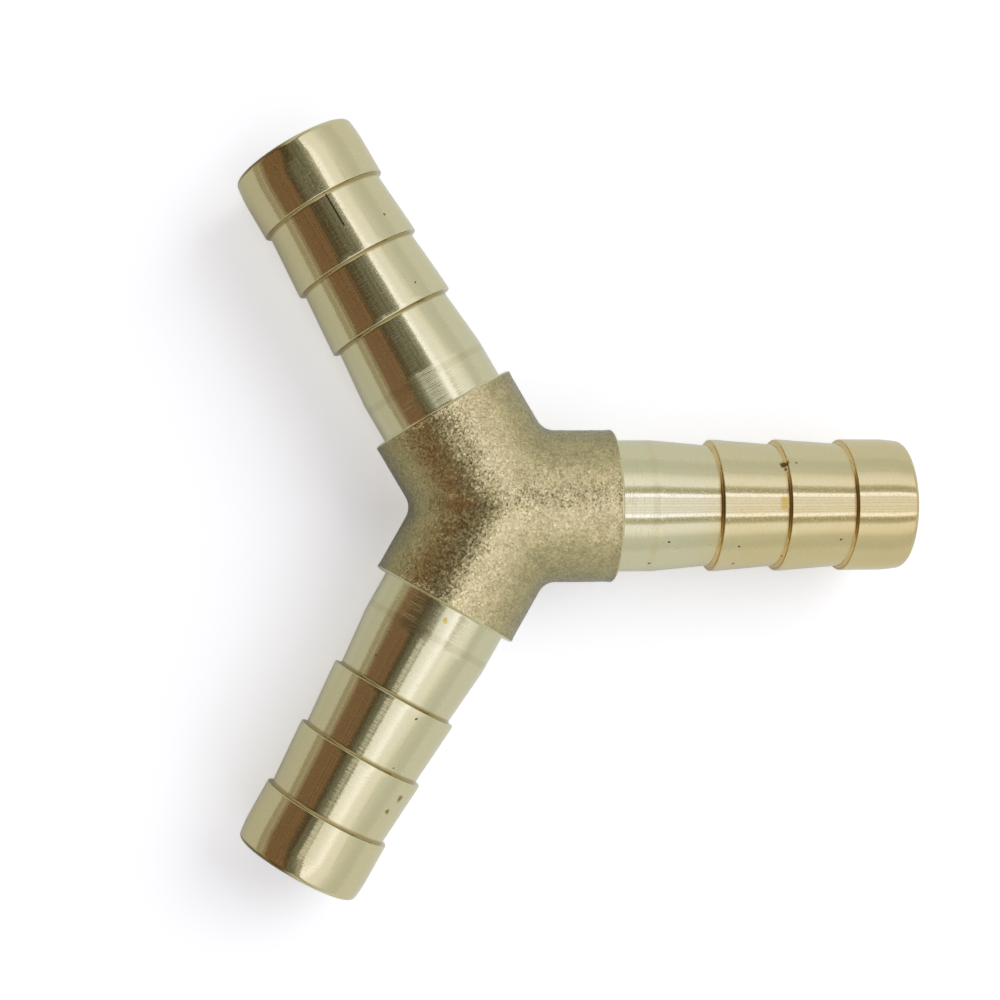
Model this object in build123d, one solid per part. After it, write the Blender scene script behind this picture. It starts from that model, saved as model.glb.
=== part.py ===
from build123d import *
import os

# A three-way connector for flexible hose: one piece of brass with three equal arms in one
# plane. Lengths are in millimetres. The origin is where the three bore axes meet, the first
# arm points along +X, and +Z is square to the plane of the arms.

# Arms
arm_count = 3

# Forged body: a thick stub round the root of each arm, blended where the stubs meet
stub_reach = 10.6            # centre to the end face of a stub
stub_shoulder = 1.0          # how far a stub stands out from the shank
stub_edge_chamfer = 0.2
crotch_radius = 1.8          # blend between two stubs

# Hose that the barbs hold
hose_bore = 12.0
barb_grip = 0.25             # how far a barb presses into the hose, measured on the radius

# Turned spigot, from the body outwards
shank_relief = 0.05          # how far the shank lies below the barbs, on the radius
shank_land = 3.8             # straight part of the shank
shank_taper = 5.6            # from the straight part down to the foot of the first barb
barb_steps = [0.55, 0.47, 0.42]    # height of each steep face, first barb to last
barb_pitch = 6.3
crest_land = 0.4             # straight top of a barb, next to its steep face
end_land = 4.2               # straight top of the last barb
tip_length = 1.6             # gentle taper from the last barb's top to the end face
tip_drop = 0.2               # how far that taper falls, on the radius
tip_chamfer = 0.3

# Bores
root_wall = 1.2              # wall at the foot of the deepest step
mouth_chamfer = 0.4
cut_margin = 1.0             # how far a cutting shape runs past the face that it opens

# Sizes that follow from those above
barb_crest = hose_bore / 2 + barb_grip
shank_radius = barb_crest - shank_relief
stub_radius = shank_radius + stub_shoulder
bore_radius = barb_crest - max(barb_steps) - root_wall
first_barb_reach = stub_reach + shank_land + shank_taper
last_barb_reach = first_barb_reach + barb_pitch * (len(barb_steps) - 1)
arm_reach = last_barb_reach + end_land + tip_length


def on_each_arm(shape):
    """Copies of a shape that was made along +X, one for each arm."""
    turn = 360 / arm_count
    return [Rot(0, 0, turn * index) * shape for index in range(arm_count)]


def turned(profile):
    """Solid of revolution about the X axis, from a closed outline of (reach, radius) points."""
    outline = [(reach, 0, radius) for reach, radius in profile]
    return revolve(make_face(Polyline(*outline, close=True)), Axis.X)


def stub():
    """Plain cylinder from the centre to the end face of one stub."""
    return turned([(0, 0), (0, stub_radius), (stub_reach, stub_radius), (stub_reach, 0)])


def forged_body():
    """Three stubs run together, with blended crotches and broken end edges."""
    first, *others = on_each_arm(stub())
    body = first.fuse(*others)
    crotches = body.edges().filter_by(GeomType.ELLIPSE)
    body = fillet(crotches, crotch_radius)
    stub_ends = body.edges().filter_by(GeomType.CIRCLE).filter_by(at_stub_end)
    return chamfer(stub_ends, stub_edge_chamfer)


def at_stub_end(edge):
    """True for the round outer edge of a stub's end face."""
    centre = edge.arc_center
    return abs(centre.length - stub_reach) < 0.001 and abs(edge.radius - stub_radius) < 0.001


def barb_outline():
    """Points along the barbs: each rises steeply, runs straight, then tapers outwards."""
    points = []
    last = len(barb_steps) - 1
    for index, step in enumerate(barb_steps):
        reach = first_barb_reach + barb_pitch * index
        land = end_land if index == last else crest_land
        points.append((reach, barb_crest - step))
        points.append((reach, barb_crest))
        points.append((reach + land, barb_crest))
    return points


def spigot():
    """Solid arm, from the centre to the tip, without its bore."""
    shank_end = stub_reach + shank_land
    tip = barb_crest - tip_drop
    outline = [(0, 0), (0, shank_radius), (shank_end, shank_radius)]
    outline += barb_outline()
    outline += [(arm_reach, tip), (arm_reach, 0)]
    arm = turned(outline)
    tip_edge = arm.edges().filter_by(GeomType.CIRCLE).group_by(Axis.X)[-1]
    return chamfer(tip_edge, tip_chamfer)


def bore():
    """Space of one drilled bore, from the centre out through its chamfered mouth."""
    mouth = arm_reach - mouth_chamfer
    outside = arm_reach + cut_margin
    outline = [
        (0, 0),
        (0, bore_radius),
        (mouth, bore_radius),
        (outside, bore_radius + mouth_chamfer + cut_margin),
        (outside, 0),
    ]
    return turned(outline)


def y_connector():
    """The whole connector: forged body, turned spigots and the bores that meet inside."""
    solid = forged_body().fuse(*on_each_arm(spigot()))
    first, *others = on_each_arm(bore())
    return solid.cut(first.fuse(*others))


os.makedirs("parts", exist_ok=True)
connector = y_connector()
export_step(connector, "parts/y_connector.step")

print("barb crest radius", barb_crest)
print("bore radius", round(bore_radius, 3))
print("stub radius", round(stub_radius, 3))
print("first barb, last barb and tip from the centre", first_barb_reach, last_barb_reach, arm_reach)
print("volume", round(connector.volume, 1))
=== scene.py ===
import math

import bpy
from mathutils import Matrix, Vector, noise


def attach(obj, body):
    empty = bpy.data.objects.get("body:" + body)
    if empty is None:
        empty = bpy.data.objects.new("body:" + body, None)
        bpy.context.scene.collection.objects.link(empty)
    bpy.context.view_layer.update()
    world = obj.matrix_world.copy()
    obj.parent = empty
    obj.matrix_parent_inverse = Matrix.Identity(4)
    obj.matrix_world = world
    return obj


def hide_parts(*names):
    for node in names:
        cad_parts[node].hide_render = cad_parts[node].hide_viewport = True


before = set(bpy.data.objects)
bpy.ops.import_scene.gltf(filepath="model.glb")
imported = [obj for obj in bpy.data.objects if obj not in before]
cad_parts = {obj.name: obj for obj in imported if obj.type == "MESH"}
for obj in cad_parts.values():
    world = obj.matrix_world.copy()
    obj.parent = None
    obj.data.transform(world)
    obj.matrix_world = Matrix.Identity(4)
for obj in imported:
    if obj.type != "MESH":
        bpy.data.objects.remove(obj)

# A brass connector for hose, lying flat on a white table under soft light. Three turned
# spigots with barbs grow from a shot-blasted body. Blender works in metres; the sizes of the
# connector below are in millimetres, and MM turns them into metres.

MM = 0.001
NODE = "y_connector"

# Connector
ARM_COUNT = 3
ARM_TURN = 2 * math.pi / ARM_COUNT
STUB_RADIUS = 7.2
STUB_REACH = 10.6
CROTCH_RADIUS = 1.8
SHANK_RADIUS = 6.2
SHANK_END = 14.4
BARB_CREST = 6.25
BARB_STEPS = (0.55, 0.47, 0.42)
FIRST_BARB = 20.0
BARB_PITCH = 6.3
CREST_LAND = 0.4
END_LAND = 4.2
TIP_RADIUS = 6.05
ARM_REACH = 38.4
BORE_RADIUS = 4.5

# Rounding of each kind of edge
STUB_EDGE = 0.22
SHOULDER_ROOT = 0.08
BARB_ROOT = 0.11
BARB_EDGE = 0.08
COVE_LENGTH = 0.20           # the cutter's round nose leaves a cove before each barb
COVE_RISE = 0.17
COVE_START = 0.16
SOFT_BEND = 3.0
TIP_BEND = 12.0              # where the tip's gentle taper starts
TIP_EDGE = 0.47
MOUTH_EDGE = 0.35

# Mesh density
AROUND = 176                 # segments round an arm
CROTCH_ROWS = 6
STUB_ROWS = 40
BORE_ROWS = 8
EDGE_STEPS = 4               # segments across a rounded edge
SUPPORT = 0.05               # a row this far from each rounded edge keeps the flats flat
WELD_DIGITS = 4              # vertices that agree to this many decimals are one vertex

# Unevenness of the forged skin: (size of the lumps, depth), all of it cut into the skin
SKIN_LUMPS = ((3.4, 0.05), (1.1, 0.018), (0.42, 0.016))
SKIN_FADE = 0.35             # it fades out over this distance from the stub's end

# Camera
CAMERA_AT = Vector((-18.825, -3.946, 152.337)) * MM
CAMERA_TARGET = Vector((-6.050, 0.643, 0.0)) * MM
CAMERA_ROLL = math.radians(-0.433)
CAMERA_LENS = 58.767
CAMERA_SHIFT = 0.065
CLIP_START = 0.01
PICTURE_UP = Vector((0, 1, 0))

# Colours of the connector
SHANK_BRASS = (0.76, 0.735, 0.475, 1)
TIP_BRASS = (0.755, 0.695, 0.415, 1)
BLASTED_LIGHT = (0.81, 0.71, 0.39, 1)
BLASTED_DARK = (0.54, 0.47, 0.245, 1)
# Painted shade on the body's flanks, towards the parting plane
FLANK_SHADE = (0.36, 0.378, 0.345, 1)
# Painted shade in the corners before the barbs, with the first arm's own lighter and darker tints
BARB_CORNER_PAINTED_SHADE = (0.44, 0.36, 0.16, 1)
FIRST_ARM_CORNER_PAINTED_SHADE = (0.70, 0.56, 0.27, 1)
TOP_LINE_CORNER_PAINTED_SHADE = (0.42, 0.34, 0.15, 1)
# Painted shade on the -X side of the slanting arms' tip rims
RIM_PAINTED_SHADE = (0.22, 0.17, 0.07, 1)
SPECK_BRASS = (0.40, 0.28, 0.10, 1)
WARM_TINT = (1.0, 0.91, 0.76, 1)
BROWN_STAIN = (0.16, 0.09, 0.035, 1)
YELLOW_STAIN = (0.66, 0.50, 0.16, 1)
OLIVE_STAIN = (0.30, 0.26, 0.09, 1)
SCRATCH_BLACK = (0.05, 0.045, 0.03, 1)
WHITE = (1, 1, 1, 1)

# Noises, each as its scale and its detail. Most of their values lie between NOISE_MOST.
STAIN_NOISE = (3.0, 3.0)
WARM_NOISE = (0.5, 2.0)
SPECK_NOISE = (13.0, 4.0)
CLUSTER_NOISE = (1.5, 2.0)
LINE_NOISE = (5.0, 1.0)
MARK_NOISE = (5.0, 4.0)
SCUFF_NOISE = (5.0, 5.0)
FINE_NOISE = (9.0, 2.0)
PATCH_NOISE = (0.8, 3.0)
CLUTTER_NOISE = (11.0, 3.0)
NOISE_MOST = (0.3, 0.7)

# Turned faces. Their textures are stretched: each has a scale along the arm and one across it.
MARKS_STRETCH = (7.0, 0.3)
SCUFFS_STRETCH = (2.0, 1.3)
LINES_STRETCH = (1.2, 0.05)
RINGS_STRETCH = (3.4, 0.08)
TURNED_FINISH = (0.0010, 0.045)   # depth of the fine marks, and roughness
DRILLED_FINISH = (0.004, 0.22)
MARKS_TONE = (0.96, 1.03)
SCUFF_RANGE = (0.50, 0.66)
SCRATCH_ROUGHNESS = 0.24     # added where the face is scuffed
TURNING_LINES = 0.007        # depth of the faint lines that the lathe leaves everywhere
SHANK_MARKS = 0.012          # depth of the turning marks on the shank's straight part
MARKS_END = (0.2, -0.2)      # these marks fade out here, measured from the end of that part

# Where the turned faces change colour
CORNER_REACH = 0.42          # painted shade: the corner before a barb is darker over this length
CORNER_RADII = (6.22, 6.12)  # and from here down
TOP_CORNER = (2.4, 1.0)      # painted shade: darker still this near to the first arm's top and bottom lines
FIRST_ARM_START = (0.0, 5.0)  # along X, where the first arm's own painted corner shade takes over
RIM_DEPTH = (0.42, 0.25)     # painted shade: the rim of a tip is dark over this length
RIM_SIDE = (-19.0, -20.5)    # on the two slanting arms, on their -X side
WARM_REACH = (17.0, 21.0)    # the first arm turns warmer between these two places
WARM_SIDE = (3.0, -1.5)      # and more so on its -Y side
WARM_LEAST = 0.4
WARM_PATCHES = (0.7, 1.1)
SPECK_RANGE = (0.68, 0.74)
CLUSTER_RANGE = (0.5, 0.6)
STAIN_WOBBLE = (-0.12, 0.12)
STAIN_CORE = 0.4             # a stain is full within this share of its size

# Forged skin
FLANK_HEIGHTS = (0.5, 7.1)   # painted shade: the skin is darkest at the parting plane and unshaded this far from it
FLANK_CURVE = 1.3
DENTS_PER_MM = 5.6
DENT_DEPTH = 0.009
DENT_TILT = 0.21             # how far a dent's floor may lean, each way over the normal
DENT_MIDDLE = (0.5, 0.5, 0.5)
BLASTED_ROUGHNESS = (0.14, 0.40)
PATCH_TONE = (0.88, 1.08)

# One scratch along a spigot: arm, its two ends, degrees from the top and width
SCRATCH = (1, 29.2, 32.4, 0.0, 0.10)

# Stains on the spigots: (arm, reach, degrees from the top, size, colour)
STAINS = (
    (0, 26.0, 38, 0.48, BROWN_STAIN),
    (0, 26.1, 33, 0.24, BROWN_STAIN),
    (0, 25.7, 3, 0.58, YELLOW_STAIN),
    (0, 25.65, -2, 0.54, YELLOW_STAIN),
    (0, 15.0, -34, 0.12, BROWN_STAIN),
    (0, 15.9, -42, 0.10, BROWN_STAIN),
    (0, 13.6, -61, 0.16, BROWN_STAIN),
    (0, 19.1, -41, 0.12, BROWN_STAIN),
    (0, 21.6, -40, 0.14, BROWN_STAIN),
    (0, 21.5, -64, 0.20, BROWN_STAIN),
    (0, 26.1, -57, 0.16, BROWN_STAIN),
    (0, 31.2, -34, 0.15, BROWN_STAIN),
    (0, 27.1, 37, 0.10, BROWN_STAIN),
    (2, 27.9, 51, 0.44, OLIVE_STAIN),
    (2, 29.4, 46, 0.34, OLIVE_STAIN),
    (2, 11.8, 2, 0.34, YELLOW_STAIN),
    (2, 17.6, -37, 0.12, BROWN_STAIN),
    (2, 20.8, 22, 0.12, BROWN_STAIN),
    (2, 25.6, 29, 0.12, BROWN_STAIN),
    (1, 28.4, -39, 0.16, BROWN_STAIN),
    (1, 21.6, -30, 0.10, BROWN_STAIN),
)

# Faces are sorted into these three finishes
BLASTED, TURNED, DRILLED = range(3)


# --- Small helpers for node trees

def feed(tree, socket, value):
    """Links a socket to the input, or sets the input to a value."""
    if isinstance(value, bpy.types.NodeSocket):
        tree.links.new(value, socket)
    else:
        socket.default_value = value


def add(tree, kind, inputs=None, **settings):
    """A new node. Inputs are named or numbered, and each is a value or another node's socket."""
    made = tree.nodes.new(kind)
    for name, value in settings.items():
        setattr(made, name, value)
    for name, value in (inputs or {}).items():
        feed(tree, made.inputs[name], value)
    return made


def math_node(tree, operation, *values):
    """One operation on numbers."""
    made = add(tree, "ShaderNodeMath", dict(enumerate(values)), operation=operation)
    return made.outputs[0]


def vector_node(tree, operation, *vectors, scale=None):
    """One operation on vectors, which gives a vector or a number."""
    inputs = dict(enumerate(vectors))
    if scale is not None:
        inputs["Scale"] = scale
    made = add(tree, "ShaderNodeVectorMath", inputs, operation=operation)
    gives_number = operation in ("DISTANCE", "DOT_PRODUCT", "LENGTH")
    return made.outputs["Value" if gives_number else "Vector"]


def coordinates(tree, place):
    """The three coordinates of a place."""
    return add(tree, "ShaderNodeSeparateXYZ", {0: place}).outputs


def in_mm(tree):
    """The place in the object's own frame, in millimetres."""
    place = add(tree, "ShaderNodeTexCoord").outputs["Object"]
    return vector_node(tree, "SCALE", place, scale=1 / MM)


def spread(tree, value, low, high, out_low=0.0, out_high=1.0, smooth=False):
    """The value's range from low to high, spread over another range."""
    inputs = {
        "Value": value,
        "From Min": low,
        "From Max": high,
        "To Min": out_low,
        "To Max": out_high,
    }
    kind = "SMOOTHSTEP" if smooth else "LINEAR"
    return add(tree, "ShaderNodeMapRange", inputs, interpolation_type=kind).outputs["Result"]


def noise_node(tree, place, scale, detail):
    """Noise between 0 and 1 at a place."""
    inputs = {"Vector": place, "Scale": scale, "Detail": detail}
    return add(tree, "ShaderNodeTexNoise", inputs).outputs[0]


def blend(tree, factor, first, second, mode="MIX"):
    """Two colours mixed."""
    made = add(tree, "ShaderNodeMix", data_type="RGBA", blend_type=mode)
    feed(tree, made.inputs["Factor"], factor)
    feed(tree, made.inputs[6], first)
    feed(tree, made.inputs[7], second)
    return made.outputs[2]


def new_material(name):
    """A material with an empty tree, and the tree."""
    material = bpy.data.materials.new(name)
    material.use_nodes = True
    material.node_tree.nodes.clear()
    return material, material.node_tree


# --- Outline of one arm

def turned_corners():
    """Corners of the turned outline, from the stub's end to the bore: (reach, radius, rounding)."""
    corners = [
        (STUB_REACH, STUB_RADIUS, STUB_EDGE),
        (STUB_REACH, SHANK_RADIUS, SHOULDER_ROOT),
        (SHANK_END, SHANK_RADIUS, SOFT_BEND),
    ]
    for index, step in enumerate(BARB_STEPS):
        reach = FIRST_BARB + BARB_PITCH * index
        last = index == len(BARB_STEPS) - 1
        land, bend = (END_LAND, TIP_BEND) if last else (CREST_LAND, SOFT_BEND)
        corners.append((reach - COVE_LENGTH, BARB_CREST - step, COVE_START))
        corners.append((reach, BARB_CREST - step + COVE_RISE, BARB_ROOT))
        corners.append((reach, BARB_CREST, BARB_EDGE))
        corners.append((reach + land, BARB_CREST, bend))
    corners.append((ARM_REACH, TIP_RADIUS, TIP_EDGE))
    corners.append((ARM_REACH, BORE_RADIUS, MOUTH_EDGE))
    return corners


def round_corner(before, corner, after, radius):
    """Points that round one corner, with a supporting point on each side."""
    inward = (before - corner).normalized()
    onward = (after - corner).normalized()
    turn = math.pi - inward.angle(onward)
    trim = radius * math.tan(turn / 2)
    start = corner + inward * trim
    end = corner + onward * trim
    centre = corner + (inward + onward).normalized() * (radius / math.cos(turn / 2))
    points = [corner + inward * (trim + SUPPORT)]
    for step in range(EDGE_STEPS + 1):
        share = step / EDGE_STEPS
        arm = (start - centre).lerp(end - centre, share)
        points.append(centre + arm.normalized() * radius)
    points.append(corner + onward * (trim + SUPPORT))
    return points


def turned_outline():
    """Rounded outline of the turned part, as (reach, radius) vectors."""
    corners = turned_corners()
    places = [Vector(corner[:2]) for corner in corners]
    before = Vector((0, STUB_RADIUS))
    after = Vector((0, BORE_RADIUS))
    places = [before, *places, after]
    outline = []
    for index, corner in enumerate(corners, start=1):
        outline += round_corner(places[index - 1], places[index], places[index + 1], corner[2])
    return outline


# --- Body, where three stubs run together

def crotch_point(angle, share):
    """A point on the blend between two stubs: share 0 on the seam plane, 1 on this arm's stub."""
    side = 1 if math.sin(angle) >= 0 else -1
    across = abs(math.sin(angle))
    up = math.cos(angle)
    half_turn = ARM_TURN / 2
    away = STUB_RADIUS + CROTCH_RADIUS
    centre = Vector((away * across / math.tan(half_turn), away * across, away * up))
    to_arm = Vector((0, -across, -up))
    mirror = Vector((-math.sin(half_turn), math.cos(half_turn), 0))
    to_neighbour = to_arm - 2 * to_arm.dot(mirror) * mirror
    to_seam = (to_arm + to_neighbour).normalized()
    point = centre + to_seam.lerp(to_arm, share).normalized() * CROTCH_RADIUS
    point.y *= side
    return point


def stub_start(angle):
    """Reach at which the plain cylinder of a stub begins."""
    return (STUB_RADIUS + CROTCH_RADIUS) * abs(math.sin(angle)) / math.tan(ARM_TURN / 2)


def inner_seam(angle):
    """Reach at which this bore meets its neighbour."""
    return BORE_RADIUS * abs(math.sin(angle)) / math.tan(ARM_TURN / 2)


def on_arm(reach, radius, angle):
    """The place at a reach along the arm, a radius from its axis and an angle from the top."""
    return Vector((reach, radius * math.sin(angle), radius * math.cos(angle)))


def on_shank(place):
    """The place moved square to the arm's axis, onto the shank's cylinder."""
    aside = Vector((0, place.y, place.z)).normalized()
    return Vector((place.x, 0, 0)) + aside * SHANK_RADIUS


def arm_line(angle, outline):
    """Points along one arm at one angle: out over the skin and back in through the bore."""
    points = [crotch_point(angle, row / CROTCH_ROWS) for row in range(CROTCH_ROWS)]
    start = stub_start(angle)
    end = outline[0].x
    for row in range(STUB_ROWS):
        points.append(on_arm(start + (end - start) * row / STUB_ROWS, STUB_RADIUS, angle))
    points += [on_arm(place.x, place.y, angle) for place in outline]
    mouth = outline[-1].x
    inside = inner_seam(angle)
    for row in range(1, BORE_ROWS + 1):
        points.append(on_arm(mouth + (inside - mouth) * row / BORE_ROWS, BORE_RADIUS, angle))
    return points


def finish_of_row(row, outline):
    """Which of the three finishes the strip that starts at this row has."""
    skin = CROTCH_ROWS + STUB_ROWS + EDGE_STEPS // 2
    if row < skin:
        return BLASTED
    if row < CROTCH_ROWS + STUB_ROWS + len(outline) - 1:
        return TURNED
    return DRILLED


# --- Mesh

class Skin:
    """Vertices that are shared where they meet, and the faces between them."""

    def __init__(self):
        self.points = []
        self.number = {}
        self.faces = []
        self.finishes = []
        self.places = []
        self.wrapped = []

    def vertex(self, point):
        """Number of the vertex at a point, new or shared."""
        key = tuple(round(value, WELD_DIGITS) for value in point)
        if key not in self.number:
            self.number[key] = len(self.points)
            self.points.append(point)
        return self.number[key]

    def face(self, corners, places, finish, turn):
        """Adds a face, without the corners that fall together."""
        kept = [i for i in range(len(corners)) if corners[i] != corners[i - 1]]
        if len(kept) < 3:
            return
        self.faces.append([corners[i] for i in kept])
        self.places += [places[i] for i in kept]
        self.wrapped += [turn @ on_shank(places[i]) for i in kept]
        self.finishes.append(finish)


def add_arm(skin, turn, outline):
    """One arm's outside and bore, turned about Z."""
    angles = [2 * math.pi * step / AROUND for step in range(AROUND)]
    lines = [arm_line(angle, outline) for angle in angles]
    numbers = [[skin.vertex(turn @ point) for point in line] for line in lines]
    for this in range(AROUND):
        following = (this + 1) % AROUND
        for row in range(len(lines[0]) - 1):
            ends = ((this, row), (this, row + 1), (following, row + 1), (following, row))
            corners = [numbers[line][place] for line, place in ends]
            places = [lines[line][place] for line, place in ends]
            skin.face(corners, places, finish_of_row(row, outline), turn)


def skin_depth(point):
    """How far the forged skin lies below its plain shape at a point."""
    depth = 0
    for size, deep in SKIN_LUMPS:
        value = noise.noise(point / size + Vector((size, 0, 0)))
        depth += deep * (0.5 - 0.5 * value)
    return depth


def roughen(mesh, reaches):
    """Sinks the vertices of the forged skin by small uneven amounts."""
    normals = [normal.vector.copy() for normal in mesh.vertex_normals]
    for index, reach in reaches.items():
        fade = min(1, max(0, (STUB_REACH - STUB_EDGE - reach) / SKIN_FADE))
        vertex = mesh.vertices[index]
        vertex.co -= normals[index] * skin_depth(vertex.co / MM) * fade * MM


def skin_reaches(skin):
    """How far along its arm each vertex of the forged skin lies."""
    reaches = {}
    places = iter(skin.places)
    for face, finish in zip(skin.faces, skin.finishes):
        for corner, place in zip(face, places):
            if finish == BLASTED:
                reaches[corner] = max(reaches.get(corner, 0), place.x)
    return reaches


def build_mesh():
    """The whole connector as one closed mesh."""
    outline = turned_outline()
    skin = Skin()
    for index in range(ARM_COUNT):
        add_arm(skin, Matrix.Rotation(ARM_TURN * index, 3, "Z"), outline)
    mesh = bpy.data.meshes.new("y_connector_finish")
    mesh.from_pydata([point * MM for point in skin.points], [], skin.faces)
    mesh.polygons.foreach_set("material_index", skin.finishes)
    mesh.polygons.foreach_set("use_smooth", [True] * len(skin.faces))
    for name, places in (("turned", skin.places), ("wrapped", skin.wrapped)):
        stored = mesh.attributes.new(name, "FLOAT_VECTOR", "CORNER")
        stored.data.foreach_set("vector", [value for place in places for value in place])
    mesh.update()
    roughen(mesh, skin_reaches(skin))
    mesh.update()
    return mesh


# --- Materials of the connector

def stretched(tree, place, scales):
    """The place with its own scale along the arm and across it."""
    along, across = scales
    return vector_node(tree, "MULTIPLY", place, (along, across, across))


def painted_corner_shade_mask(tree, reach, radius):
    """Mask of the painted shade: one in the corner before each barb, else zero."""
    past = math_node(tree, "SUBTRACT", reach, FIRST_BARB - BARB_PITCH / 2)
    past = math_node(tree, "FLOORED_MODULO", past, BARB_PITCH)
    away = math_node(tree, "ABSOLUTE", math_node(tree, "SUBTRACT", past, BARB_PITCH / 2))
    near = spread(tree, away, CORNER_REACH, CORNER_REACH / 2)
    return math_node(tree, "MULTIPLY", near, spread(tree, radius, *CORNER_RADII))


def painted_corner_shade_colour(tree, side, across):
    """Painted shade in the corners before the barbs, lighter on the first arm and darker near its
    top and bottom lines.
    """
    top = spread(tree, math_node(tree, "ABSOLUTE", across), *TOP_CORNER)
    first = blend(tree, top, FIRST_ARM_CORNER_PAINTED_SHADE, TOP_LINE_CORNER_PAINTED_SHADE)
    return blend(tree, spread(tree, side, *FIRST_ARM_START), BARB_CORNER_PAINTED_SHADE, first)


def painted_rim_shade_mask(tree, reach, side):
    """Mask of the painted shade: one on the dark rims of the slanting arms' tips, else zero."""
    rim = spread(tree, math_node(tree, "SUBTRACT", ARM_REACH, reach), *RIM_DEPTH)
    return math_node(tree, "MULTIPLY", rim, spread(tree, side, *RIM_SIDE))


def dirty(tree, colour, place):
    """The colour with small specks of dirt, in clusters."""
    specks = spread(tree, noise_node(tree, place, *SPECK_NOISE), *SPECK_RANGE)
    clusters = spread(tree, noise_node(tree, place, *CLUSTER_NOISE), *CLUSTER_RANGE)
    return blend(tree, math_node(tree, "MULTIPLY", specks, clusters), colour, SPECK_BRASS)


def stained(tree, colour, wrapped):
    """The colour with the stains that handling has left on it."""
    wobble = spread(tree, noise_node(tree, wrapped, *STAIN_NOISE), *NOISE_MOST, *STAIN_WOBBLE)
    for arm, reach, degrees, size, stain in STAINS:
        turn = Matrix.Rotation(ARM_TURN * arm, 3, "Z")
        spot = turn @ on_arm(reach, SHANK_RADIUS, math.radians(degrees))
        away = math_node(tree, "ADD", vector_node(tree, "DISTANCE", wrapped, spot), wobble)
        share = spread(tree, away, size, size * STAIN_CORE, smooth=True)
        colour = blend(tree, share, colour, stain)
    return colour


def scratched(tree, colour, wrapped):
    """The colour with a thin dark scratch along one spigot."""
    arm, start, end, degrees, width = SCRATCH
    turn = Matrix.Rotation(ARM_TURN * arm, 3, "Z")
    axis = turn @ Vector((1, 0, 0))
    aside = turn @ on_arm(0, SHANK_RADIUS, math.radians(degrees))
    along = math_node(tree, "MAXIMUM", vector_node(tree, "DOT_PRODUCT", wrapped, axis), start)
    along = math_node(tree, "MINIMUM", along, end)
    nearest = vector_node(tree, "ADD", vector_node(tree, "SCALE", axis, scale=along), aside)
    away = vector_node(tree, "DISTANCE", wrapped, nearest)
    return blend(tree, spread(tree, away, width, width / 3), colour, SCRATCH_BLACK)


def warmed(tree, colour, wrapped):
    """The colour with the warmer tint that one side of the first arm has."""
    x, y = coordinates(tree, wrapped)[:2]
    side = spread(tree, y, *WARM_SIDE, WARM_LEAST, 1.0)
    share = math_node(tree, "MULTIPLY", spread(tree, x, *WARM_REACH), side)
    patchy = spread(tree, noise_node(tree, wrapped, *WARM_NOISE), *NOISE_MOST, *WARM_PATCHES)
    share = math_node(tree, "MULTIPLY", share, patchy)
    return blend(tree, share, colour, blend(tree, 1.0, colour, WARM_TINT, "MULTIPLY"))


def handled_and_shaded(tree, colour, place):
    """The colour of a spigot's outside: painted shade in the corners and on the tips' rims, dirt, a
    warm side and stains.
    """
    reach = coordinates(tree, place)[0]
    radius = vector_node(tree, "LENGTH", stretched(tree, place, (0.0, 1.0)))
    wrapped = add(tree, "ShaderNodeAttribute", attribute_name="wrapped").outputs["Vector"]
    side, across = coordinates(tree, wrapped)[:2]
    # painted shade in the corners before the barbs
    corner = painted_corner_shade_colour(tree, side, across)
    colour = blend(tree, painted_corner_shade_mask(tree, reach, radius), colour, corner)
    # painted shade on the slanting arms' tip rims
    colour = blend(tree, painted_rim_shade_mask(tree, reach, side), colour, RIM_PAINTED_SHADE)
    colour = warmed(tree, dirty(tree, colour, place), wrapped)
    return scratched(tree, stained(tree, colour, wrapped), wrapped)


def lathe_height(tree, place, reach, marks, scuffs, marks_depth):
    """Height of a turned surface: fine marks and lines everywhere, deeper rings on the shank."""
    lines = noise_node(tree, stretched(tree, place, LINES_STRETCH), *LINE_NOISE)
    rings = noise_node(tree, stretched(tree, place, RINGS_STRETCH), *LINE_NOISE)
    ends = [SHANK_END + past for past in MARKS_END]
    rings = math_node(tree, "MULTIPLY", rings, spread(tree, reach, *ends, smooth=True))
    fine = math_node(tree, "MULTIPLY", math_node(tree, "ADD", marks, scuffs), marks_depth * MM)
    lines = math_node(tree, "MULTIPLY", lines, TURNING_LINES * MM)
    rings = math_node(tree, "MULTIPLY", rings, SHANK_MARKS * MM)
    return math_node(tree, "ADD", math_node(tree, "ADD", fine, lines), rings)


def turned_brass(name, finish, outside):
    """Brass as a lathe or drill leaves it: bright, with fine marks round the axis."""
    marks_depth, roughness = finish
    material, tree = new_material(name)
    place = add(tree, "ShaderNodeAttribute", attribute_name="turned").outputs["Vector"]
    reach = coordinates(tree, place)[0]
    marks = noise_node(tree, stretched(tree, place, MARKS_STRETCH), *MARK_NOISE)
    scuffs = noise_node(tree, stretched(tree, place, SCUFFS_STRETCH), *SCUFF_NOISE)
    height = lathe_height(tree, place, reach, marks, scuffs, marks_depth)
    bump = add(tree, "ShaderNodeBump", {"Height": height, "Strength": 1.0, "Distance": 1.0})
    brass = blend(tree, spread(tree, reach, SHANK_END, ARM_REACH), SHANK_BRASS, TIP_BRASS)
    tone = spread(tree, marks, *NOISE_MOST, *MARKS_TONE)
    colour = blend(tree, 1.0, brass, tone, "MULTIPLY")
    if outside:
        colour = handled_and_shaded(tree, colour, place)
    rough = spread(tree, scuffs, *SCUFF_RANGE, roughness, roughness + SCRATCH_ROUGHNESS)
    shader = add(tree, "ShaderNodeBsdfPrincipled", {
        "Base Color": colour,
        "Metallic": 1.0,
        "Roughness": rough,
        "Normal": bump.outputs[0],
    })
    add(tree, "ShaderNodeOutputMaterial", {"Surface": shader.outputs[0]})
    return material


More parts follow.
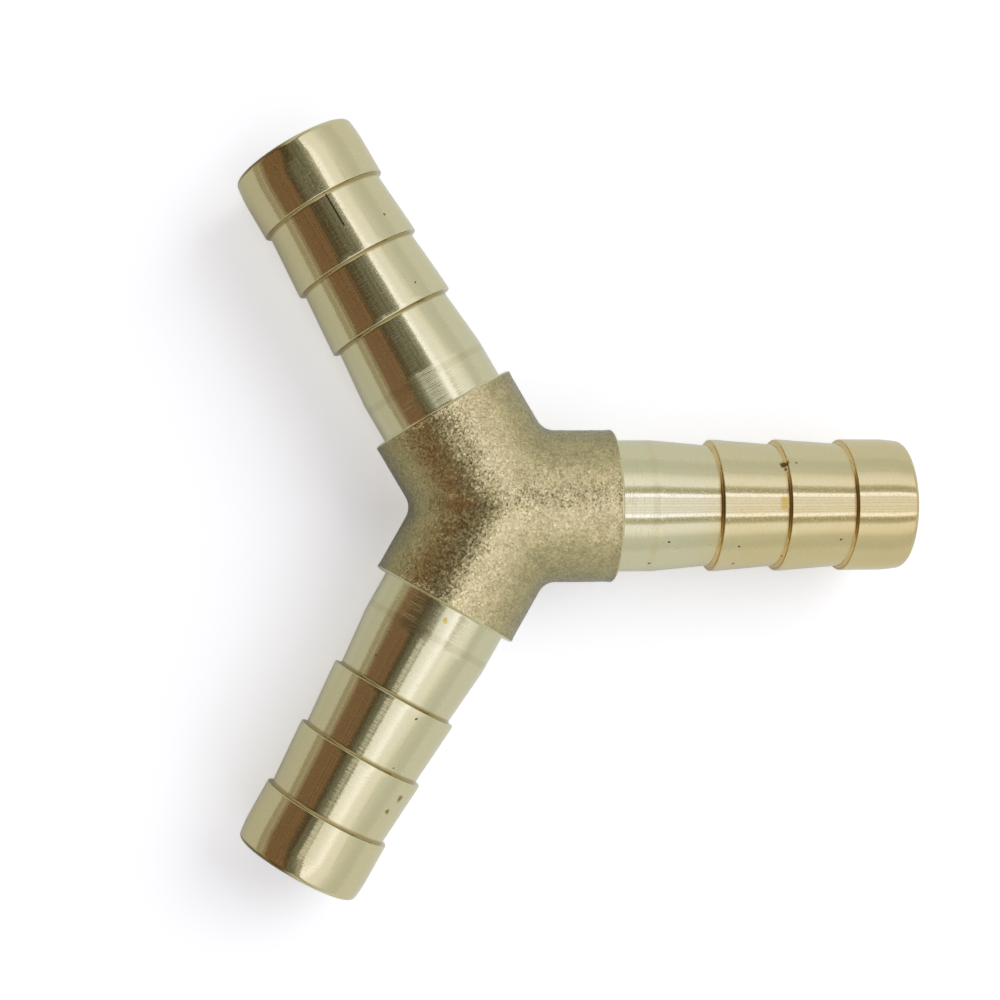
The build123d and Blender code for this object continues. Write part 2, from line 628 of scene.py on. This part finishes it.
def dented_normal(tree, mm, dents):
    """Normal of the blasted skin, where each dent's floor leans its own way."""
    depth = math_node(tree, "ADD", dents.outputs["Distance"], noise_node(tree, mm, *FINE_NOISE))
    inputs = {"Height": depth, "Strength": 1.0, "Distance": DENT_DEPTH * MM}
    bump = add(tree, "ShaderNodeBump", inputs).outputs[0]
    tilt = vector_node(tree, "SUBTRACT", dents.outputs["Color"], DENT_MIDDLE)
    tilt = vector_node(tree, "SCALE", tilt, scale=DENT_TILT)
    return vector_node(tree, "NORMALIZE", vector_node(tree, "ADD", bump, tilt))


def blasted_colour(tree, mm, pick):
    """Colour of the blasted skin: its own for each dent, patchy, and with painted shade on the
    flanks.
    """
    colour = blend(tree, pick, BLASTED_DARK, BLASTED_LIGHT)
    patches = noise_node(tree, mm, *PATCH_NOISE)
    tone = spread(tree, patches, *NOISE_MOST, *PATCH_TONE)
    colour = blend(tree, 1.0, colour, tone, "MULTIPLY")
    # painted shade on the flanks, by height from the parting plane
    height = math_node(tree, "ABSOLUTE", coordinates(tree, mm)[2])
    flank_unshaded = math_node(tree, "POWER", spread(tree, height, *FLANK_HEIGHTS), FLANK_CURVE)
    return blend(tree, 1.0, colour, blend(tree, flank_unshaded, FLANK_SHADE, WHITE), "MULTIPLY")


def blasted_brass():
    """The forged skin after shot blasting: overlapping small dents that sparkle."""
    material, tree = new_material("blasted_brass")
    mm = in_mm(tree)
    dents = add(tree, "ShaderNodeTexVoronoi", {"Vector": mm, "Scale": DENTS_PER_MM})
    picks = add(tree, "ShaderNodeTexWhiteNoise", {"Vector": dents.outputs["Color"]})
    pick = coordinates(tree, picks.outputs["Color"])
    shader = add(tree, "ShaderNodeBsdfPrincipled", {
        "Base Color": blasted_colour(tree, mm, pick[0]),
        "Metallic": 1.0,
        "Roughness": spread(tree, pick[1], 0.0, 1.0, *BLASTED_ROUGHNESS),
        "Normal": dented_normal(tree, mm, dents),
    })
    add(tree, "ShaderNodeOutputMaterial", {"Surface": shader.outputs[0]})
    return material


def build_connector():
    """The connector's detailed mesh in place of its plain solid."""
    piece = bpy.data.objects.new("y_connector_finish", build_mesh())
    bpy.context.scene.collection.objects.link(piece)
    piece.data.materials.append(blasted_brass())
    piece.data.materials.append(turned_brass("turned_brass", TURNED_FINISH, True))
    piece.data.materials.append(turned_brass("drilled_brass", DRILLED_FINISH, False))
    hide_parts(NODE)
    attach(piece, "root")
    return piece


# --- Table, light and camera

FLOOR_HALF = 900.0
FLOOR_COLOUR = (0.80, 0.815, 0.83, 1)
FLOOR_GLOW = 0.40            # for what the camera sees
LEFT_FLOOR = (0.665, 0.665, 0.60, 1)      # as the brass reflects it
RIGHT_FLOOR = (0.68, 0.695, 0.68, 1)
FLOOR_SHEEN = 0.13           # for what the brass reflects, except on the table's far left
SHEEN_EDGE = (-32.0, -17.0)  # between these two places the sheen sets in
# Painted light and shade on the table: its glow changes beside the slanting arms, by distance from
# their middle lines, lighter in the shadow close to them and darker farther out
PAINTED_SHADOW_BESIDE_ARMS = (
    (3.0, 0.0),
    (6.6, 0.085),
    (8.0, 0.045),
    (9.6, 0.005),
    (12.0, -0.03),
    (19.0, -0.025),
    (32.0, 0.0),
)
BESIDE_OFFSET = 0.1          # keeps the values of the ramp above zero
BESIDE_END = (43.0, 33.0)    # it fades out past the tips

# Directions in the world are given as x and y over z: how far they lean from straight up.
LEAST_HEIGHT = 0.02          # directions lower than this count as this high
# The edge between the dark left side and the bright right side slants: its lean along x for
# some leans along y.
EDGE = (
    (-0.26, -0.135),
    (-0.20, -0.135),
    (-0.10, -0.105),
    (0.00, 0.005),
    (0.10, 0.110),
    (0.17, 0.200),
    (0.22, 0.200),
    (0.36, 0.150),
    (0.44, 0.120),
    (0.54, 0.000),
    (0.70, -0.100),
)
EDGE_OFFSET = 0.5            # keeps the values of the ramp above zero
EDGE_BLUR = 0.03
# Light from the dark side, by lean along x
DARK_SIDE = (
    (-7.0, (0.37, 0.32, 0.25)),
    (-5.0, (0.40, 0.35, 0.28)),
    (-4.3, (0.50, 0.46, 0.37)),
    (-3.9, (0.34, 0.28, 0.20)),
    (-3.4, (0.26, 0.20, 0.14)),
    (-3.0, (0.36, 0.30, 0.22)),
    (-2.7, (0.24, 0.165, 0.11)),
    (-2.4, (0.21, 0.125, 0.077)),
    (-0.5, (0.21, 0.125, 0.077)),
)
# A nearly black strip lies between the brown and the edge, wider where the lean along y grows
BLACK_ENDS = (-0.76, -0.60)
BLACK_GROWTH = 1.2
BLACK_START = (0.30, 0.75)   # by lean along y
BLACK_LIGHT = (0.092, 0.068, 0.044, 1)
# Light close to the edge, by distance from it
NEAR_EDGE = (
    (-0.62, (0.092, 0.068, 0.044)),
    (-0.55, (0.110, 0.090, 0.060)),
    (-0.51, (0.150, 0.138, 0.108)),
    (-0.30, (0.165, 0.157, 0.128)),
    (-0.20, (0.21, 0.20, 0.17)),
    (-0.10, (0.33, 0.32, 0.29)),
    (-0.01, (0.42, 0.41, 0.37)),
)
NEAR_FADE = (-0.52, -0.60)
# A pale patch farther left
PATCH_PLACE = (-0.20, -0.08, 0)
PATCH_SIZE = (0.10, 0.08, 1)
PATCH_RIM = (1.3, 0.7)       # it fades between these shares of its size
PATCH_LIGHT = (0.68, 0.66, 0.66, 1)
# The dark side ends where the lean along y passes this share of the lean along x
SIDE_SHARE = 0.85
SIDE_EDGE = (0.10, 0.35)
SIDE_START = (-0.35, -0.55)  # by lean along x
SIDE_LIGHT = (0.66, 0.63, 0.56, 1)
# Small things in the dark side make it uneven
CLUTTER_RANGE = (0.35, 0.65)
CLUTTER_LIGHT = (0.60, 1.45)
# Light from the ceiling and walls, by angle from straight up in degrees
WALLS = (
    (10, (0.92, 0.91, 1.00)),
    (18, (1.05, 1.03, 1.21)),
    (24, (1.22, 1.20, 1.45)),
    (28, (1.22, 1.20, 1.45)),
    (31, (1.06, 1.04, 1.19)),
    (35, (0.97, 0.95, 1.06)),
    (44, (0.95, 0.93, 1.02)),
    (50, (0.86, 0.85, 0.91)),
    (56, (0.74, 0.74, 0.78)),
    (62, (0.68, 0.68, 0.69)),
    (72, (0.63, 0.63, 0.63)),
    (82, (0.62, 0.62, 0.62)),
    (90, (0.68, 0.68, 0.68)),
)

# Striped card over the first arm: its light by distance from its middle line
CARD_LEVEL = 36.0
CARD_BOX = ((11.0, -58.0), (80.0, 58.0))
CARD_MIDDLE = -0.9
CARD_LINES = 2.6             # spacing of the fine lines
CARD_CONTRAST = 0.14
CARD_LINES_END = (8.6, 8.0)  # the fine lines fade out here
CARD_START = (18.0, 24.0)    # the card's light changes between these two places
CARD_LEVELS = (1.02, 0.95)
CARD_STRIPES = (
    (0.0, (0.95, 0.92, 1.04)),
    (8.4, (0.97, 0.94, 1.08)),
    (9.2, (1.36, 1.36, 1.77)),
    (12.0, (1.36, 1.36, 1.77)),
    (13.3, (0.60, 0.57, 0.52)),
    (16.5, (0.46, 0.44, 0.36)),
    (20.0, (0.60, 0.57, 0.52)),
    (23.5, (1.03, 1.00, 1.14)),
    (33.0, (1.00, 0.97, 1.06)),
    (44.0, (0.87, 0.85, 0.87)),
    (58.0, (0.68, 0.66, 0.64)),
)

# A soft light from the upper right, which casts the shadow on the table
SUN_BEARING = math.radians(25)
SUN_HEIGHT = math.radians(45)
SUN_SPREAD = math.radians(42)
SUN_LIGHT = 1.05


def pale_patch(tree, lean):
    """One in the middle of the pale patch, fading to nothing at its rim."""
    aside = vector_node(tree, "SUBTRACT", lean, PATCH_PLACE)
    distance = vector_node(tree, "LENGTH", vector_node(tree, "DIVIDE", aside, PATCH_SIZE))
    return spread(tree, distance, *PATCH_RIM, smooth=True)


def ramp(tree, factor, stops):
    """A colour ramp with its stops at the given values."""
    low, high = stops[0][0], stops[-1][0]
    made = add(tree, "ShaderNodeValToRGB", {0: spread(tree, factor, low, high)})
    elements = made.color_ramp.elements
    while len(elements) < len(stops):
        elements.new(0.5)
    for element, (value, colour) in zip(elements, stops):
        element.position = (value - low) / (high - low)
    for element, (value, colour) in zip(elements, stops):
        element.color = (*colour, 1)
    return made.outputs["Color"]


def lean_of(tree, direction):
    """How far a direction leans from straight up, along x and along y."""
    x, y, z = coordinates(tree, direction)
    height = math_node(tree, "MAXIMUM", z, LEAST_HEIGHT)
    return math_node(tree, "DIVIDE", x, height), math_node(tree, "DIVIDE", y, height)


def past_edge(tree, lean_x, lean_y):
    """How far a direction lies on the bright side of the slanting edge."""
    stops = [(place, (edge + EDGE_OFFSET,) * 3) for place, edge in EDGE]
    edge = math_node(tree, "SUBTRACT", ramp(tree, lean_y, stops), EDGE_OFFSET)
    return math_node(tree, "SUBTRACT", lean_x, edge)


def dark_bands(tree, lean_x, lean_y, beyond):
    """Light of the dark side by itself: brown, a nearly black strip and a grey zone."""
    start, end = BLACK_START
    growth = spread(tree, lean_y, start, end, 0.0, BLACK_GROWTH * (end - start))
    black = spread(tree, math_node(tree, "ADD", lean_x, growth), *BLACK_ENDS)
    dark = blend(tree, black, ramp(tree, lean_x, DARK_SIDE), BLACK_LIGHT)
    near = ramp(tree, beyond, NEAR_EDGE)
    return blend(tree, spread(tree, lean_x, *NEAR_FADE), near, dark)


def past_sides(tree, lean_x, lean_y):
    """One where the dark side has ended to the front or back, else zero."""
    share = math_node(tree, "MULTIPLY", math_node(tree, "ABSOLUTE", lean_x), SIDE_SHARE)
    aside = math_node(tree, "SUBTRACT", math_node(tree, "ABSOLUTE", lean_y), share)
    far_left = spread(tree, lean_x, *SIDE_START)
    return math_node(tree, "MULTIPLY", spread(tree, aside, *SIDE_EDGE), far_left)


def dark_side(tree, lean_x, lean_y, beyond):
    """Light of the dark side, with its small things, its pale patch and its ends."""
    dark = dark_bands(tree, lean_x, lean_y, beyond)
    lean = add(tree, "ShaderNodeCombineXYZ", {"X": lean_x, "Y": lean_y}).outputs[0]
    clutter = noise_node(tree, lean, *CLUTTER_NOISE)
    clutter = spread(tree, clutter, *CLUTTER_RANGE, *CLUTTER_LIGHT)
    dark = blend(tree, 1.0, dark, clutter, "MULTIPLY")
    dark = blend(tree, pale_patch(tree, lean), dark, PATCH_LIGHT)
    return blend(tree, past_sides(tree, lean_x, lean_y), dark, SIDE_LIGHT)


def build_world():
    """A white tent: pale walls, a bright opening to the right and a dark one to the left."""
    world = bpy.data.worlds.new("tent")
    bpy.context.scene.world = world
    world.use_nodes = True
    tree = world.node_tree
    tree.nodes.clear()
    direction = add(tree, "ShaderNodeTexCoord").outputs["Generated"]
    lean_x, lean_y = lean_of(tree, direction)
    beyond = past_edge(tree, lean_x, lean_y)
    angle = math_node(tree, "ARCCOSINE", coordinates(tree, direction)[2])
    walls = ramp(tree, math_node(tree, "MULTIPLY", angle, math.degrees(1)), WALLS)
    edge = spread(tree, beyond, 0.0, EDGE_BLUR, smooth=True)
    inside = blend(tree, edge, dark_side(tree, lean_x, lean_y, beyond), walls)
    seen = add(tree, "ShaderNodeLightPath").outputs["Is Camera Ray"]
    colour = blend(tree, seen, inside, WHITE)
    light = add(tree, "ShaderNodeBackground", {"Color": colour, "Strength": 1.0})
    add(tree, "ShaderNodeOutputWorld", {"Surface": light.outputs[0]})


def flat_panel(name, corners):
    """A four-sided flat panel."""
    mesh = bpy.data.meshes.new(name)
    mesh.from_pydata([Vector(corner) * MM for corner in corners], [], [(0, 1, 2, 3)])
    panel = bpy.data.objects.new(name, mesh)
    bpy.context.scene.collection.objects.link(panel)
    return panel


def painted_shadow_beside_arms(tree, x, y):
    """Painted light and shade in the table's glow: how much it changes at a place on the -X side of
    the slanting arms.
    """
    y = math_node(tree, "ABSOLUTE", y)
    half_turn = ARM_TURN / 2
    aside = math_node(tree, "MULTIPLY", x, -math.sin(half_turn))
    aside = math_node(tree, "SUBTRACT", aside, math_node(tree, "MULTIPLY", y, math.cos(half_turn)))
    along = math_node(tree, "MULTIPLY", x, -math.cos(half_turn))
    along = math_node(tree, "ADD", along, math_node(tree, "MULTIPLY", y, math.sin(half_turn)))
    stops = [(place, (level + BESIDE_OFFSET,) * 3) for place, level in PAINTED_SHADOW_BESIDE_ARMS]
    change = math_node(tree, "SUBTRACT", ramp(tree, aside, stops), BESIDE_OFFSET)
    return math_node(tree, "MULTIPLY", change, spread(tree, along, *BESIDE_END))


def table_material():
    """White. The camera sees it with a soft glow, with painted light and shade beside the slanting
    arms, and the brass reflects it a little duller.
    """
    material, tree = new_material("white_table")
    path = add(tree, "ShaderNodeLightPath").outputs
    x, y = coordinates(tree, in_mm(tree))[:2]
    # painted light and shade beside the slanting arms, added to the glow
    glow = math_node(tree, "ADD", painted_shadow_beside_arms(tree, x, y), FLOOR_GLOW)
    seen = math_node(tree, "MULTIPLY", path["Is Camera Ray"], glow)
    sheen = spread(tree, x, *SHEEN_EDGE, 0.0, FLOOR_SHEEN)
    reflected = math_node(tree, "MULTIPLY", path["Is Glossy Ray"], sheen)
    mirrored = blend(tree, spread(tree, x, *SHEEN_EDGE), LEFT_FLOOR, RIGHT_FLOOR)
    colour = blend(tree, path["Is Glossy Ray"], FLOOR_COLOUR, mirrored)
    diffuse = add(tree, "ShaderNodeBsdfDiffuse", {"Color": colour})
    light = add(tree, "ShaderNodeEmission", {"Strength": math_node(tree, "ADD", seen, reflected)})
    both = add(tree, "ShaderNodeAddShader", {0: diffuse.outputs[0], 1: light.outputs[0]})
    add(tree, "ShaderNodeOutputMaterial", {"Surface": both.outputs[0]})
    return material


def build_floor():
    """White table that the connector lies on. It keeps the soft shadow."""
    level = -STUB_RADIUS
    far = FLOOR_HALF
    rim = ((-far, -far), (far, -far), (far, far), (-far, far))
    floor = flat_panel("floor", [(*corner, level) for corner in rim])
    floor.data.materials.append(table_material())


def card_material():
    """Light stripes along the first arm, with fine lines in the middle."""
    material, tree = new_material("striped_card")
    x, y = coordinates(tree, in_mm(tree))[:2]
    aside = math_node(tree, "ABSOLUTE", math_node(tree, "SUBTRACT", y, CARD_MIDDLE))
    light = ramp(tree, aside, CARD_STRIPES)
    turn = math_node(tree, "MULTIPLY", aside, 2 * math.pi / CARD_LINES)
    inner = spread(tree, aside, *CARD_LINES_END)
    wave = math_node(tree, "MULTIPLY", math_node(tree, "SINE", turn), inner)
    level = spread(tree, x, *CARD_START, *CARD_LEVELS)
    level = math_node(tree, "ADD", math_node(tree, "MULTIPLY", wave, CARD_CONTRAST), level)
    shine = add(tree, "ShaderNodeEmission", {"Color": light, "Strength": level})
    add(tree, "ShaderNodeOutputMaterial", {"Surface": shine.outputs[0]})
    return material


def build_card():
    """Striped card over the first arm, for the straight lines that it reflects."""
    (left, near), (right, far) = CARD_BOX
    rim = ((left, near), (right, near), (right, far), (left, far))
    card = flat_panel("striped_card", [(*corner, CARD_LEVEL) for corner in rim])
    card.visible_camera = False
    card.visible_diffuse = False
    card.visible_shadow = False
    card.data.materials.append(card_material())


def build_sun():
    """The soft light from the upper right. The polished brass reflects only the tent."""
    data = bpy.data.lights.new("sun", "SUN")
    data.energy = SUN_LIGHT
    data.angle = SUN_SPREAD
    sun = bpy.data.objects.new("sun", data)
    bpy.context.scene.collection.objects.link(sun)
    level = Vector((math.cos(SUN_BEARING), math.sin(SUN_BEARING), math.tan(SUN_HEIGHT)))
    sun.rotation_euler = level.to_track_quat("Z", "Y").to_euler()
    sun.visible_glossy = False


def build_camera():
    """Camera at the photograph's place."""
    data = bpy.data.cameras.new("camera")
    data.lens = CAMERA_LENS
    data.sensor_fit = "HORIZONTAL"
    data.shift_x = CAMERA_SHIFT
    data.clip_start = CLIP_START
    camera = bpy.data.objects.new("camera", data)
    bpy.context.scene.collection.objects.link(camera)
    back = (CAMERA_AT - CAMERA_TARGET).normalized()
    up = (PICTURE_UP - back * PICTURE_UP.dot(back)).normalized()
    turned = Matrix((up.cross(back), up, back)).transposed()
    camera.location = CAMERA_AT
    camera.rotation_euler = (turned @ Matrix.Rotation(CAMERA_ROLL, 3, "Z")).to_euler()
    bpy.context.scene.camera = camera


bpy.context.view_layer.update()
build_connector()
build_floor()
build_world()
build_card()
build_sun()
build_camera()
bpy.context.scene.view_settings.view_transform = "Standard"
